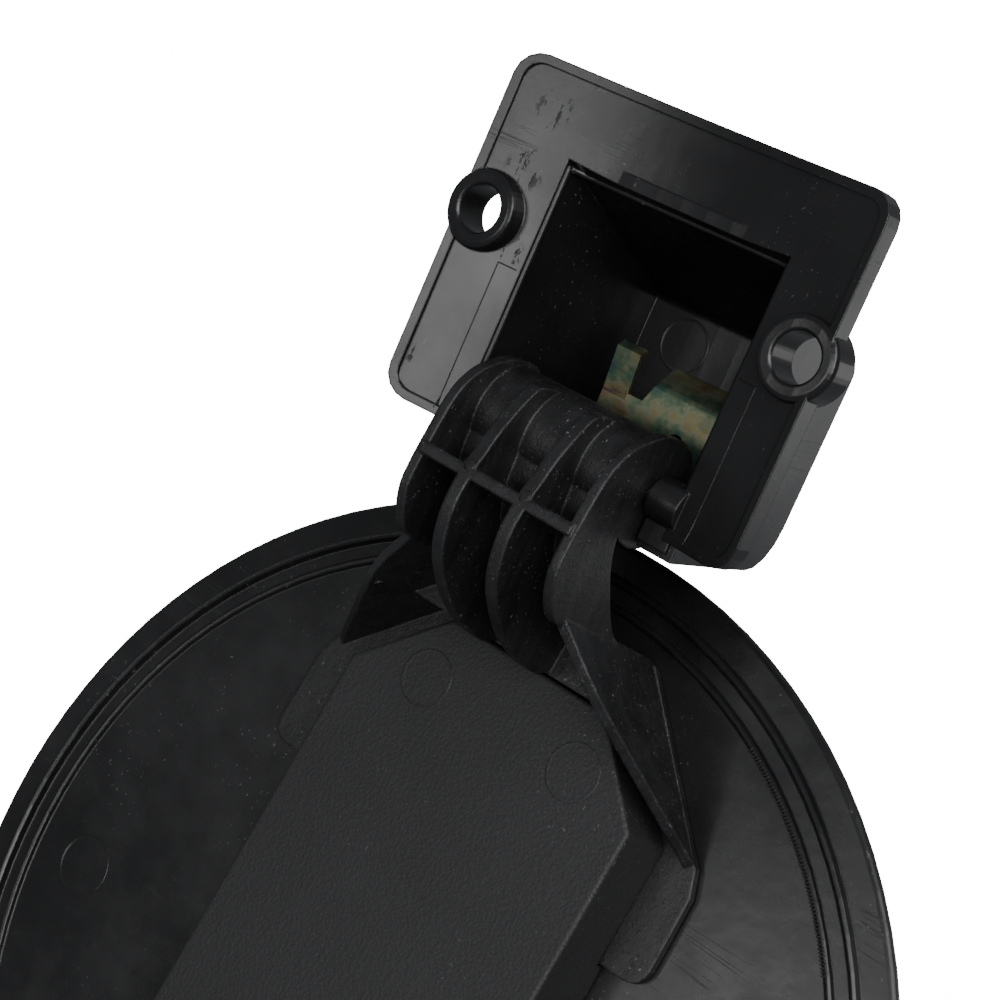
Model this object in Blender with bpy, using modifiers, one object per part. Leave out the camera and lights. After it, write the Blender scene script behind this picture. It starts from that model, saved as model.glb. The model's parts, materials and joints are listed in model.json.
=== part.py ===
"""Fuel filler flap with a ribbed gooseneck hinge, shown open.

Metres, +Z up along the hinge axis. +X points out of the car body, the housing's screws pull along Y,
and the origin is midway between the two screw holes, on the plane that the screw eyelets seat on.
"""

import math

import bmesh
import bpy
from mathutils import Matrix, Vector

MM = 0.001

# Clearances, in millimetres
TOUCH_GAP = 0.3
HUB_SIDE_GAP = 0.8

# How far a cutter runs past what it cuts
OVERRUN = 8.0

# Mounting plate of the housing
PLATE_WIDTH = 62.6
PLATE_HEIGHT = 52.3
PLATE_THICKNESS = 3.0
PLATE_CORNER = 4.0
PLATE_BOW_RADIUS = 110.0
PLATE_FACETS = 16
RIM_WIDTH = 1.4
RIM_RISE = 0.5

# Screw eyelets
SCREW_SPACING = 55.0
SCREW_HOLE = 7.0
SCREW_HOLE_CHAMFER = 0.6
SCREW_TO_LOWER_EDGE = 29.1
EYELET_DIAMETER = 11.6
EYELET_DEPTH = 6.1
EYELET_ROUND = 0.8
SEAT_BEHIND_EDGE = 5.5

# Pocket and the box around it
MOUTH_WIDTH = 38.0
MOUTH_TOP = 39.8
POCKET_DEPTH = 34.0
POCKET_BACK_WIDTH = 32.6
POCKET_BACK_TOP = 27.4
POCKET_FLOOR = -0.7
POCKET_CORNER = 1.2
BOX_WALL = 1.9
BOX_FRONT = 4.0
BOX_HEEL_ROUND = 7.0
BOX_ROUND = 2.5
FLOOR_START = 11.5

# Hinge pin and the lugs that hold it
PIN_DIAMETER = 3.0
PIN_ABOVE_EDGE = 4.5
PIN_BEHIND_EDGE = 4.5
LUG_RADIUS = 3.2
LUG_DEPTH = 9.5
LUG_TOP = 6.6
PIN_INSET = 0.8

# Gooseneck arm, seen along the hinge axis from the pin
ARM_WIDTH = 28.6
SIDE_WALL = 1.5
HUB_RADIUS = 7.3
HUB_CHEEK_RADIUS = 8.0
RIB_SPACING = 9.9
RIB_THICKNESS = 2.0
WEB_THICKNESS = 2.0
CROSSBAR_THICKNESS = 1.8
CROSSBAR_BACK = 9.8
CROSSBAR_TOP = 13.0
CREST_HEIGHT = 12.6
NECK_BACK = 21.4

# Foot of the arm, on the flap disc
FLARE_TIP_BACK = 41.3
FLARE_TIP_HALF_WIDTH = 34.6
FLARE_WALL = 1.5
FLARE_TOP = 4.6
FOOT_FLOOR_HEIGHT = 12.0
FOOT_FLOOR_THICKNESS = 2.0
BASE_THICKNESS = 1.5
BASE_HALF_WIDTH = 37.3
BASE_BACK = 59.2
BASE_CORNER = 3.0

# Flap disc
DISC_DIAMETER = 160.0
DISC_REACH = 86.7
DISC_DROP = 26.0
DISC_OFFSET = 2.3
DISC_THICKNESS = 2.4
DISC_CROWN = 1.4
EDGE_ROUND = 0.9
BEAD_RADIUS = 74.5
BEAD_HEIGHT = 1.3
BEAD_WIDTH = 1.6
INNER_BEAD_RADIUS = 71.0
INNER_BEAD_HEIGHT = 0.8
INNER_BEAD_WIDTH = 1.4
DISC_FACETS = 96

# Cover pad over the arm's foot
PAD_HALF_WIDTH = 26.8
PAD_HALF_LENGTH = 57.9
PAD_END_HALF_WIDTH = 14.5
PAD_HEIGHT = 12.0
PAD_DRAFT = 1.2
PAD_WALL = 2.0
PAD_EDGE_ROUND = 0.5

# Leaf spring behind the hub
SPRING_THICKNESS = 0.6
SPRING_LEFT = -5.2
SPRING_FOLD = 16.9
SPRING_TOP = 20.0
SPRING_SLANT_LEFT = 2.6
SPRING_NOTCH_BOTTOM = 14.0
SPRING_TAB_WIDTH = 4.2
SPRING_TAB_TOP = 20.6
SPRING_TAB_LEAN = 9.0
SPRING_HOLE = 2.8
SPRING_HOLE_ACROSS = 9.0
SPRING_HOLE_HEIGHT = 10.6
SPRING_BEND = 1.6

# How far the flap stands open
OPEN_ANGLE = 78.3

# Derived places, in millimetres
EDGE_X = SCREW_TO_LOWER_EDGE
PIN_X = EDGE_X - PIN_ABOVE_EDGE
PIN_Y = PIN_BEHIND_EDGE - SEAT_BEHIND_EDGE
ARM_HALF = ARM_WIDTH / 2
SLOT_HALF = ARM_HALF + HUB_SIDE_GAP
BASE_TOP = -DISC_DROP + TOUCH_GAP + BASE_THICKNESS
FOOT_FLOOR_TOP = -DISC_DROP + FOOT_FLOOR_HEIGHT
PAD_FRONT = -DISC_REACH + PAD_HALF_LENGTH


def row_point(up, out):
    """A point of the housing's section: height over the lower edge, and depth behind the side edges."""
    return (EDGE_X - up, out - SEAT_BEHIND_EDGE)


def clear_scene():
    for old in list(bpy.data.objects):
        bpy.data.objects.remove(old, do_unlink=True)
    for old in list(bpy.data.collections):
        bpy.data.collections.remove(old)


def new_collection(name):
    collection = bpy.data.collections.new(name)
    bpy.context.scene.collection.children.link(collection)
    return collection


def new_material(name, color, roughness, metallic=0.0):
    material = bpy.data.materials.new(name)
    material.use_nodes = True
    shader = material.node_tree.nodes["Principled BSDF"]
    shader.inputs["Base Color"].default_value = (*color, 1.0)
    shader.inputs["Roughness"].default_value = roughness
    shader.inputs["Metallic"].default_value = metallic
    return material


def place(name, mesh, collection, material=None, parent=None, matrix=None):
    """Link a mesh as an object, in its parent's frame."""
    item = bpy.data.objects.new(name, mesh)
    collection.objects.link(item)
    if parent:
        item.parent = parent
    if matrix:
        item.matrix_local = matrix
    if material:
        mesh.materials.clear()
        mesh.materials.append(material)
    return item


def as_tool(item):
    item.hide_render = True
    item.display_type = "WIRE"
    return item


def boolean(target, tool, operation):
    step = target.modifiers.new(f"{operation.lower()}_{tool.name}", "BOOLEAN")
    step.operation = operation
    step.solver = "EXACT"
    step.object = as_tool(tool)
    return step


def smooth_shade(item, angle=30.0):
    item.data.shade_smooth()
    item.data.set_sharp_from_angle(angle=math.radians(angle))


def smooth_through(points, steps=5):
    """Points along a Catmull-Rom curve that passes through the given ones."""
    ends = [points[0], *points, points[-1]]
    found = []
    for i in range(1, len(ends) - 2):
        a, b, c, d = (Vector(p) for p in ends[i - 1 : i + 3])
        for k in range(steps):
            t = k / steps
            found.append(
                0.5
                * (
                    2 * b
                    + (c - a) * t
                    + (2 * a - 5 * b + 4 * c - d) * t**2
                    + (3 * b - a - 3 * c + d) * t**3
                )
            )
    found.append(Vector(points[-1]))
    return [tuple(p) for p in found]


def offset_line(points, distance):
    """The same line moved to its left by a distance."""
    moved = []
    last = len(points) - 1
    for i, p in enumerate(points):
        before = Vector(points[max(i - 1, 0)])
        after = Vector(points[min(i + 1, last)])
        run = (after - before).normalized()
        moved.append((p[0] - run.y * distance, p[1] + run.x * distance))
    return moved


def fillet(corners, steps=4):
    """A closed outline from (x, y, radius) corners, each rounded by its radius."""
    outline = []
    count = len(corners)
    for i in range(count):
        here = Vector(corners[i][:2])
        radius = corners[i][2]
        if radius <= 0:
            outline.append(tuple(here))
            continue
        back = (Vector(corners[i - 1][:2]) - here).normalized()
        ahead = (Vector(corners[(i + 1) % count][:2]) - here).normalized()
        half = back.angle(ahead) / 2
        centre = here + (back + ahead).normalized() * (radius / math.sin(half))
        first = here + back * (radius / math.tan(half)) - centre
        turn = first.angle_signed(here + ahead * (radius / math.tan(half)) - centre)
        for k in range(steps + 1):
            angle = -turn * k / steps
            spoke = Matrix.Rotation(angle, 2) @ first
            outline.append(tuple(centre + spoke))
    return outline


def circle(centre_x, centre_y, radius, facets=40):
    return [
        (
            centre_x + radius * math.cos(2 * math.pi * k / facets),
            centre_y + radius * math.sin(2 * math.pi * k / facets),
        )
        for k in range(facets)
    ]


def curve_mesh(name, outlines, depth):
    """A closed mesh of flat outlines given a thickness, centred on the outline's plane."""
    curve = bpy.data.curves.new(name, "CURVE")
    curve.dimensions = "2D"
    curve.fill_mode = "BOTH"
    curve.extrude = depth / 2 * MM
    for outline in outlines:
        spline = curve.splines.new("POLY")
        spline.points.add(len(outline) - 1)
        for point, (x, y) in zip(spline.points, outline):
            point.co = (x * MM, y * MM, 0.0, 1.0)
        spline.use_cyclic_u = True
    guide = bpy.data.objects.new(name, curve)
    bpy.context.scene.collection.objects.link(guide)
    graph = bpy.context.evaluated_depsgraph_get()
    mesh = bpy.data.meshes.new_from_object(guide.evaluated_get(graph))
    bpy.data.objects.remove(guide, do_unlink=True)
    bm = bmesh.new()
    bm.from_mesh(mesh)
    bmesh.ops.remove_doubles(bm, verts=bm.verts, dist=1e-7)
    bmesh.ops.recalc_face_normals(bm, faces=bm.faces)
    bm.to_mesh(mesh)
    bm.free()
    return mesh


def along_z(low, high):
    """Where an outline's mesh sits when it fills the span from low to high across the part."""
    return Matrix.Translation((0.0, 0.0, (low + high) / 2 * MM))


def flat_lying(height):
    """Turns an outline drawn in (x, z) so that its thickness runs along y, centred at a height."""
    return Matrix.Translation((0.0, height * MM, 0.0)) @ Matrix.Rotation(
        math.radians(90), 4, "X"
    )


def cylinder_mesh(name, radius, length, facets=48):
    bm = bmesh.new()
    bmesh.ops.create_cone(
        bm,
        cap_ends=True,
        segments=facets,
        radius1=radius * MM,
        radius2=radius * MM,
        depth=length * MM,
    )
    mesh = bpy.data.meshes.new(name)
    bm.to_mesh(mesh)
    bm.free()
    return mesh


def cone_mesh(name, radius_low, radius_high, length, facets=48):
    bm = bmesh.new()
    bmesh.ops.create_cone(
        bm,
        cap_ends=True,
        segments=facets,
        radius1=radius_low * MM,
        radius2=radius_high * MM,
        depth=length * MM,
    )
    mesh = bpy.data.meshes.new(name)
    bm.to_mesh(mesh)
    bm.free()
    return mesh


def loft_mesh(name, front, back):
    """A closed body between two outlines with as many points each, given as (x, y, z) in millimetres."""
    bm = bmesh.new()
    near = [bm.verts.new(Vector(p) * MM) for p in front]
    far = [bm.verts.new(Vector(p) * MM) for p in back]
    count = len(near)
    for i in range(count):
        j = (i + 1) % count
        bm.faces.new((near[i], near[j], far[j], far[i]))
    bm.faces.new(near)
    bm.faces.new(far)
    bmesh.ops.recalc_face_normals(bm, faces=bm.faces)
    mesh = bpy.data.meshes.new(name)
    bm.to_mesh(mesh)
    bm.free()
    return mesh


def plate_outline(inset):
    """The plate's outline in (x, z), drawn in by an inset."""
    low = EDGE_X - PLATE_HEIGHT + inset
    high = EDGE_X - inset
    side = PLATE_WIDTH / 2 - inset
    radius = max(PLATE_CORNER - inset, 0.5)
    return fillet(
        [(low, -side, radius), (high, -side, radius), (high, side, radius), (low, side, radius)]
    )


def bow_band(name, collection, front, back):
    """A strip bowed about an axis along x, between two depths measured from the plate's front face."""
    edge = PLATE_WIDTH / 2 + OVERRUN / 4
    sag_at_edge = PLATE_BOW_RADIUS - math.sqrt(PLATE_BOW_RADIUS**2 - (PLATE_WIDTH / 2) ** 2)
    centre_y = sag_at_edge - SEAT_BEHIND_EDGE - PLATE_BOW_RADIUS
    reach = math.asin(edge / PLATE_BOW_RADIUS)
    angles = [-reach + 2 * reach * k / PLATE_FACETS for k in range(PLATE_FACETS + 1)]
    outline = []
    for radius, order in ((PLATE_BOW_RADIUS + front, angles), (PLATE_BOW_RADIUS + back, angles[::-1])):
        for angle in order:
            outline.append((radius * math.sin(angle), centre_y + radius * math.cos(angle)))
    mesh = curve_mesh(name, [outline], PLATE_HEIGHT + 2 * OVERRUN)
    middle = EDGE_X - PLATE_HEIGHT / 2
    turn = Matrix(((0, 0, 1, middle * MM), (0, 1, 0, 0), (-1, 0, 0, 0), (0, 0, 0, 1)))
    return place(name, mesh, collection, matrix=turn)


def make_plate(parts, cutters, material):
    """The bowed plate with a raised rim, cut to its rounded outline."""
    mesh = curve_mesh("hinge_housing", [plate_outline(0.0)], 4 * OVERRUN)
    housing = place("hinge_housing", mesh, parts, material, matrix=flat_lying(0.0))
    slab = bow_band("plate_slab", cutters, -RIM_RISE, PLATE_THICKNESS)
    boolean(housing, slab, "INTERSECT")
    field = bow_band("plate_field", cutters, -OVERRUN, 0.0)
    inner = place(
        "plate_field_outline",
        curve_mesh("plate_field_outline", [plate_outline(RIM_WIDTH)], 4 * OVERRUN),
        cutters,
        matrix=flat_lying(0.0),
    )
    boolean(field, inner, "INTERSECT")
    boolean(housing, field, "DIFFERENCE")
    return housing


def box_section(grow):
    """The pocket's section along its depth, grown by a wall, as (up, out) corners with radii."""
    slope = (MOUTH_TOP - POCKET_BACK_TOP) / (POCKET_DEPTH - BOX_FRONT)
    front = BOX_FRONT if grow else -OVERRUN
    top_front = MOUTH_TOP + slope * (BOX_FRONT - front)
    heel = BOX_HEEL_ROUND if grow else BOX_HEEL_ROUND - BOX_WALL
    peak = BOX_ROUND if grow else POCKET_CORNER
    corners = [
        (POCKET_FLOOR - grow, front, 0.0),
        (POCKET_FLOOR - grow, POCKET_DEPTH + grow, heel),
        (POCKET_BACK_TOP + grow, POCKET_DEPTH + grow, peak),
        (top_front + grow, front, 0.0),
    ]
    return [(*row_point(up, out), radius) for up, out, radius in corners]


def pocket_half(out):
    """Half the pocket's width at a depth."""
    lean = (MOUTH_WIDTH - POCKET_BACK_WIDTH) / 2 / (POCKET_DEPTH - BOX_FRONT)
    return MOUTH_WIDTH / 2 - lean * (out - BOX_FRONT)


def side_taper(name, collection, grow):
    """A wedge whose two sides lean as the pocket's side walls do."""
    front = -OVERRUN
    back = POCKET_DEPTH + OVERRUN

    def half(out):
        return pocket_half(out) + grow

    high, near = row_point(-3 * OVERRUN, front)
    low, far = row_point(PLATE_HEIGHT + OVERRUN, back)
    near_ring = [
        (low, near, -half(front)),
        (high, near, -half(front)),
        (high, near, half(front)),
        (low, near, half(front)),
    ]
    far_ring = [
        (low, far, -half(back)),
        (high, far, -half(back)),
        (high, far, half(back)),
        (low, far, half(back)),
    ]
    return place(name, loft_mesh(name, near_ring, far_ring), collection)


def make_box(housing, cutters):
    """The deep box behind the plate and the tapered pocket inside it."""
    wide = MOUTH_WIDTH + 2 * OVERRUN
    shell = place(
        "box_shell",
        curve_mesh("box_shell", [fillet(box_section(BOX_WALL))], wide),
        cutters,
    )
    boolean(shell, side_taper("box_sides", cutters, BOX_WALL), "INTERSECT")
    boolean(housing, shell, "UNION")
    return housing


def cut_pocket(housing, cutters):
    wide = MOUTH_WIDTH + 2 * OVERRUN
    hollow = place(
        "pocket_hollow",
        curve_mesh("pocket_hollow", [fillet(box_section(0.0))], wide),
        cutters,
    )
    boolean(hollow, side_taper("pocket_sides", cutters, 0.0), "INTERSECT")
    boolean(housing, hollow, "DIFFERENCE")


def make_lugs(housing, cutters):
    """The lower lips of the pocket, whose rounded noses hold the ends of the pin."""
    half = MOUTH_WIDTH / 2 + BOX_WALL / 2
    sag = PLATE_BOW_RADIUS - math.sqrt(PLATE_BOW_RADIUS**2 - (PLATE_WIDTH / 2) ** 2)
    face = sag - 1.2
    corners = [
        (*row_point(POCKET_FLOOR - BOX_WALL / 2, face), 0.0),
        (*row_point(POCKET_FLOOR - BOX_WALL / 2, LUG_DEPTH), 0.5),
        (*row_point(LUG_TOP, LUG_DEPTH), 1.5),
        (*row_point(LUG_TOP, face), 1.0),
    ]
    for side in (-1, 1):
        low, high = sorted((side * SLOT_HALF, side * half))
        name = "left" if side < 0 else "right"
        lip = place(
            f"lip_{name}",
            curve_mesh(f"lip_{name}", [fillet(corners)], high - low),
            cutters,
            matrix=along_z(low, high),
        )
        boolean(housing, lip, "UNION")
        nose = place(
            f"lug_{name}",
            curve_mesh(f"lug_{name}", [circle(PIN_X, PIN_Y, LUG_RADIUS)], high - low),
            cutters,
            matrix=along_z(low, high),
        )
        boolean(housing, nose, "UNION")


def make_eyelets(housing, cutters):
    """Two round bosses on the screw centres, rounded in front and flat behind."""
    for side in (-1, 1):
        name = "left" if side < 0 else "right"
        turn = Matrix.Rotation(math.radians(90), 4, "X")
        boss_at = Matrix.Translation((0.0, -EYELET_DEPTH / 2 * MM, side * SCREW_SPACING / 2 * MM))
        boss = place(
            f"eyelet_{name}",
            cylinder_mesh(f"eyelet_{name}", EYELET_DIAMETER / 2, EYELET_DEPTH, 40),
            cutters,
            matrix=boss_at @ turn,
        )
        edge = boss.modifiers.new("rounded_edge", "BEVEL")
        edge.width = EYELET_ROUND * MM
        edge.segments = 2
        edge.limit_method = "ANGLE"
        edge.angle_limit = math.radians(60)
        boolean(housing, boss, "UNION")


def cut_screw_holes(housing, cutters):
    for side in (-1, 1):
        name = "left" if side < 0 else "right"
        turn = Matrix.Rotation(math.radians(90), 4, "X")
        at = Matrix.Translation((0.0, -EYELET_DEPTH / 2 * MM, side * SCREW_SPACING / 2 * MM))
        hole = place(
            f"screw_hole_{name}",
            cylinder_mesh(f"screw_hole_{name}", SCREW_HOLE / 2, EYELET_DEPTH + OVERRUN, 40),
            cutters,
            matrix=at @ turn,
        )
        boolean(housing, hole, "DIFFERENCE")
        length = 2 * SCREW_HOLE_CHAMFER
        mouth_at = Matrix.Translation((0.0, -EYELET_DEPTH * MM, side * SCREW_SPACING / 2 * MM))
        mouth = place(
            f"screw_mouth_{name}",
            cone_mesh(
                f"screw_mouth_{name}",
                SCREW_HOLE / 2 - SCREW_HOLE_CHAMFER,
                SCREW_HOLE / 2 + SCREW_HOLE_CHAMFER * 2,
                length + SCREW_HOLE_CHAMFER,
                40,
            ),
            cutters,
            matrix=mouth_at @ turn,
        )
        boolean(housing, mouth, "DIFFERENCE")


def cut_slot(housing, cutters):
    """The way out for the arm, through the lower edge between the lips."""
    corners = [
        (*row_point(POCKET_FLOOR - OVERRUN, -OVERRUN), 0.0),
        (*row_point(POCKET_FLOOR - OVERRUN, FLOOR_START), 0.0),
        (*row_point(LUG_TOP, FLOOR_START), 0.0),
        (*row_point(LUG_TOP + OVERRUN / 2, -OVERRUN), 0.0),
    ]
    slot = place(
        "arm_slot", curve_mesh("arm_slot", [fillet(corners)], 2 * SLOT_HALF), cutters
    )
    boolean(housing, slot, "DIFFERENCE")


def cut_pin_bore(item, cutters, name, length, parent=None, at=(0.0, 0.0)):
    bore = place(
        name,
        cylinder_mesh(name, PIN_DIAMETER / 2 + TOUCH_GAP, length, 32),
        cutters,
        parent=parent,
        matrix=Matrix.Translation((at[0] * MM, at[1] * MM, 0.0)),
    )
    boolean(item, bore, "DIFFERENCE")


def pin_length():
    return MOUTH_WIDTH + BOX_WALL - 2 * PIN_INSET


def make_housing(parts, cutters, material):
    housing = make_plate(parts, cutters, material)
    make_eyelets(housing, cutters)
    make_box(housing, cutters)
    cut_pocket(housing, cutters)
    make_lugs(housing, cutters)
    cut_slot(housing, cutters)
    cut_screw_holes(housing, cutters)
    cut_pin_bore(
        housing,
        cutters,
        "housing_pin_bore",
        pin_length() + 2 * TOUCH_GAP,
        at=(PIN_X, PIN_Y),
    )
    smooth_shade(housing)
    return housing


def make_pin(parts, material):
    """A plain steel pin with broken edges, held in the housing's lugs."""
    mesh = cylinder_mesh("hinge_pin", PIN_DIAMETER / 2, pin_length(), 32)
    pin = place(
        "hinge_pin",
        mesh,
        parts,
        material,
        matrix=Matrix.Translation((PIN_X * MM, PIN_Y * MM, 0.0)),
    )
    edge = pin.modifiers.new("broken_edge", "BEVEL")
    edge.width = PIN_DIAMETER / 10 * MM
    edge.segments = 1
    edge.limit_method = "ANGLE"
    edge.angle_limit = math.radians(60)
    smooth_shade(pin)
    return pin


def make_spring(parts, cutters, material):
    """A bent leaf behind the hub: a foot on the pocket's floor, an upright blade, a slanted top and a tab."""
    blade_out = PIN_BEHIND_EDGE + HUB_CHEEK_RADIUS + TOUCH_GAP
    foot_up = POCKET_FLOOR + TOUCH_GAP
    top_out = blade_out + SPRING_TOP - SPRING_FOLD
    foot_end = POCKET_DEPTH - BOX_HEEL_ROUND
    line = [
        (SPRING_TOP, top_out, 0.0),
        (SPRING_FOLD, blade_out, SPRING_BEND),
        (foot_up, blade_out, SPRING_BEND),
        (foot_up, foot_end, 0.0),
    ]
    bent = fillet([(*row_point(up, out), radius) for up, out, radius in line])
    right = pocket_half(foot_end) - TOUCH_GAP
    bm = bmesh.new()
    rows = [
        [bm.verts.new((x * MM, y * MM, z * MM)) for x, y in bent]
        for z in (SPRING_LEFT, right)
    ]
    for i in range(len(bent) - 1):
        bm.faces.new((rows[0][i], rows[0][i + 1], rows[1][i + 1], rows[1][i]))
    mesh = bpy.data.meshes.new("spring_clip")
    bm.to_mesh(mesh)
    bm.free()
    spring = place("spring_clip", mesh, parts, material)
    sheet = spring.modifiers.new("sheet", "SOLIDIFY")
    sheet.thickness = SPRING_THICKNESS * MM
    sheet.offset = -1.0
    sheet.use_even_offset = True
    tab_right = SPRING_LEFT + SPRING_TAB_WIDTH
    notch = [
        (SPRING_LEFT - OVERRUN, EDGE_X - SPRING_NOTCH_BOTTOM),
        (SPRING_SLANT_LEFT - 1.1, EDGE_X - SPRING_NOTCH_BOTTOM),
        (SPRING_SLANT_LEFT, EDGE_X - SPRING_FOLD),
        (SPRING_SLANT_LEFT, EDGE_X - SPRING_TOP - OVERRUN),
        (SPRING_LEFT - OVERRUN, EDGE_X - SPRING_TOP - OVERRUN),
    ]
    turn = Matrix(((0, 1, 0, 0), (0, 0, 1, 0), (1, 0, 0, 0), (0, 0, 0, 1)))
    gap = place("spring_notch", curve_mesh("spring_notch", [notch], 2 * POCKET_DEPTH), cutters, matrix=turn)
    boolean(spring, gap, "DIFFERENCE")
    lean = math.tan(math.radians(SPRING_TAB_LEAN))
    rise = SPRING_TAB_TOP - SPRING_NOTCH_BOTTOM + 1.0
    base_up = SPRING_NOTCH_BOTTOM - 1.0
    thick = SPRING_THICKNESS
    corners = [
        (*row_point(base_up, blade_out), 0.0),
        (*row_point(base_up + rise - 1.0, blade_out - lean * (rise - 1.0)), 0.0),
        (*row_point(base_up + rise, blade_out - lean * rise + 1.2), 0.0),
        (*row_point(base_up + rise - 0.4, blade_out - lean * rise + 1.2 + thick), 0.0),
        (*row_point(base_up + rise - 1.2, blade_out - lean * (rise - 1.2) + thick), 0.0),
        (*row_point(base_up, blade_out + thick), 0.0),
    ]
    tab = place(
        "spring_tab",
        curve_mesh("spring_tab", [fillet(corners)], SPRING_TAB_WIDTH),
        cutters,
        matrix=along_z(SPRING_LEFT + 0.01, tab_right),
    )
    boolean(spring, tab, "UNION")
    hole = place(
        "spring_hole",
        cylinder_mesh("spring_hole", SPRING_HOLE / 2, OVERRUN, 24),
        cutters,
        matrix=Matrix.Translation(
            (
                (EDGE_X - SPRING_HOLE_HEIGHT) * MM,
                (blade_out - SEAT_BEHIND_EDGE) * MM,
                SPRING_HOLE_ACROSS * MM,
            )
        )
        @ Matrix.Rotation(math.radians(90), 4, "X"),
    )
    boolean(spring, hole, "DIFFERENCE")
    smooth_shade(spring)
    return spring


def web_line():
    """The front face of the arm's web, from the hub round the neck to the foot."""
    return smooth_through(
        [
            (-2.0, HUB_RADIUS - 1.0),
            (-7.6, HUB_RADIUS - 2.3),
            (-12.0, 2.4),
            (-16.4, -2.3),
            (-NECK_BACK + 0.8, FOOT_FLOOR_TOP + 5.8),
            (-NECK_BACK - 1.0, FOOT_FLOOR_TOP - 1.0),
        ]
    )


def side_crest():
    """The front edge of a side wall."""
    return smooth_through(
        [
            (HUB_CHEEK_RADIUS - 0.3, 0.5),
            (HUB_CHEEK_RADIUS - 0.8, 4.4),
            (4.6, CREST_HEIGHT - 3.9),
            (2.0, CREST_HEIGHT - 1.5),
            (-1.6, CREST_HEIGHT - 0.1),
            (-8.0, CREST_HEIGHT),
            (-14.4, CREST_HEIGHT - 0.5),
            (-17.6, CREST_HEIGHT - 2.0),
            (-20.0, CREST_HEIGHT - 4.3),
            (-NECK_BACK + 0.1, CREST_HEIGHT - 7.0),
            (-NECK_BACK, 1.0),
        ]
    )


def rib_crest():
    """The front edge of a middle rib, which stands further out below the crossbar."""
    return smooth_through(
        [
            (HUB_RADIUS - 1.2, 3.0),
            (5.4, CREST_HEIGHT - 5.1),
            (3.6, CREST_HEIGHT - 3.0),
            (-2.0, CREST_HEIGHT - 0.9),
            (-6.4, CREST_HEIGHT - 0.1),
            (-CROSSBAR_BACK, CREST_HEIGHT + 0.4),
            (-14.8, CREST_HEIGHT + 0.1),
            (-20.0, CREST_HEIGHT - 2.3),
            (-24.0, CREST_HEIGHT - 6.8),
            (-27.4, -1.0),
            (PAD_FRONT - TOUCH_GAP, FOOT_FLOOR_TOP + 5.0),
            (PAD_FRONT + 1.5 * TOUCH_GAP, FOOT_FLOOR_TOP + 0.6),
            (PAD_FRONT + 2 * TOUCH_GAP, FOOT_FLOOR_TOP - 1.0),
        ]
    )


def make_arm(parts, cutters, material, pivot):
    """The gooseneck: a hub barrel, two side walls, two ribs and a web, on a flared foot."""
    front = web_line()
    back = offset_line(front, WEB_THICKNESS)
    middle = offset_line(front, WEB_THICKNESS / 2)
    wall_foot = BASE_TOP - BASE_THICKNESS / 2
    back_x = -NECK_BACK - 1.0 + WEB_THICKNESS
    inside = ARM_HALF - SIDE_WALL / 2

    arm = place(
        "hinge_arm",
        cylinder_mesh("hinge_arm", HUB_RADIUS, 2 * inside, 56),
        parts,
        material,
        parent=pivot,
    )

    def add(name, mesh, matrix):
        tool = place(name, mesh, cutters, parent=pivot, matrix=matrix)
        boolean(arm, tool, "UNION")

    web = [
        *front,
        (-NECK_BACK - 1.0, wall_foot),
        (back_x, wall_foot),
        *back[::-1],
        (0.0, 0.0),
    ]
    add("arm_web", curve_mesh("arm_web", [web], 2 * inside), Matrix.Identity(4))

    side = [
        *side_crest(),
        (-NECK_BACK, wall_foot),
        (back_x, wall_foot),
        *back[::-1],
        (0.0, -2.0),
    ]
    for sign in (-1, 1):
        low, high = sorted((sign * (ARM_HALF - SIDE_WALL), sign * ARM_HALF))
        label = "left" if sign < 0 else "right"
        add(f"arm_side_{label}", curve_mesh(f"arm_side_{label}", [side], SIDE_WALL), along_z(low, high))
        add(
            f"hub_cheek_{label}",
            cylinder_mesh(f"hub_cheek_{label}", HUB_CHEEK_RADIUS, SIDE_WALL - 0.02, 56),
            along_z(low, high),
        )

    rib = [*rib_crest(), (-NECK_BACK - 2.0, FOOT_FLOOR_TOP - 1.0), *middle[::-1], (0.0, 0.0)]
    for sign in (-1, 1):
        centre = sign * RIB_SPACING / 2
        label = "left" if sign < 0 else "right"
        add(
            f"arm_rib_{label}",
            curve_mesh(f"arm_rib_{label}", [rib], RIB_THICKNESS),
            along_z(centre, centre),
        )

    bar = fillet(
        [
            (-CROSSBAR_BACK - CROSSBAR_THICKNESS / 2, 2.4, 0.0),
            (-CROSSBAR_BACK + CROSSBAR_THICKNESS / 2, 2.4, 0.0),
            (-CROSSBAR_BACK + CROSSBAR_THICKNESS / 2, CROSSBAR_TOP, 0.4),
            (-CROSSBAR_BACK - CROSSBAR_THICKNESS / 2, CROSSBAR_TOP, 0.4),
        ],
        steps=2,
    )
    add("arm_crossbar", curve_mesh("arm_crossbar", [bar], 2 * inside), Matrix.Identity(4))

    add_foot(add, back_x, wall_foot)
    cut_pin_bore(arm, cutters, "arm_pin_bore", ARM_WIDTH + OVERRUN, parent=pivot)
    smooth_shade(arm)
    return arm


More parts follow.
